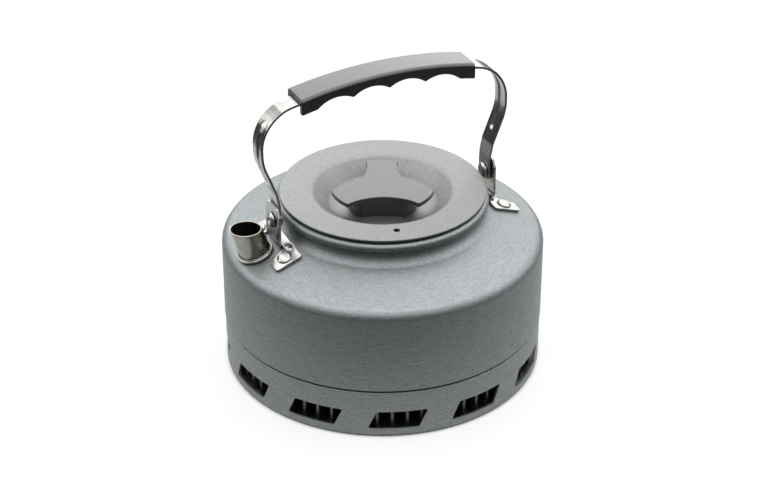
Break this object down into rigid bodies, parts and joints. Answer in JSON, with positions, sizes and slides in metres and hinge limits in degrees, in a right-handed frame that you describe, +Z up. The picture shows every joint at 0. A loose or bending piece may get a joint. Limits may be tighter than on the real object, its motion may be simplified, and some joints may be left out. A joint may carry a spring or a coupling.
{
  "type": "camping kettle",
  "caption": "Low round camping kettle with a short spout, lift-off lid, folding strap handle with a moulded grip, and a windowed skirt over a folded fin ring.",
  "frame": {"origin": "on the kettle's axis, on the ground under the skirt's foot", "axes": "+Z up the kettle's axis; X along the handle's pivot line, with the spout at -X; +Y completes the right-handed frame"},
  "size_m": [0.1562, 0.155, 0.1539],
  "materials": {
    "anodised_grey": "hard anodised, satin dark grey",
    "skirt_grey": "hard anodised, satin grey",
    "fin_dark": "hard anodised, shaded",
    "spout_metal": "satin, warm grey",
    "polished_steel": "bright, stamped sheet",
    "rivet_steel": "bright rivet and screw heads",
    "grip_black": "satin black moulding",
    "lid_grey": "hard anodised, fine matt grey",
    "knob_black": "satin black moulding"
  },
  "bodies": {
    "vessel": {"body_shell": "anodised_grey", "heat_skirt": "skirt_grey", "fin_ring": "fin_dark", "spout_tube": "spout_metal", "spout_collar": "spout_metal", "bracket_far_side": "polished_steel", "bracket_spout_side": "polished_steel", "wing_rivet_far_left": "rivet_steel", "wing_rivet_far_right": "rivet_steel", "wing_rivet_spout_left": "rivet_steel", "wing_rivet_spout_right": "rivet_steel", "pivot_rivet_far_side": "rivet_steel", "pivot_rivet_spout_side": "rivet_steel"},
    "bail": {"bail_strap": "polished_steel", "handle_grip": "grip_black", "grip_screw_spout_side": "rivet_steel", "grip_screw_far_side": "rivet_steel"},
    "lid": {"lid_shell": "lid_grey", "lid_plug_ring": "lid_grey", "lid_knob": "knob_black", "knob_washer": "rivet_steel", "knob_screw": "rivet_steel"}
  },
  "joints": [
    {"name": "bail_swing", "type": "hinge", "parent": "vessel", "child": "bail", "pos_m": [0, 0, 0.08681], "axis": [1, 0, 0], "range_deg": [-94, 94]},
    {"name": "lid_lift", "type": "slide", "parent": "vessel", "child": "lid", "axis": [0, 0, 1], "range_m": [0, 0.025]}
  ]
}
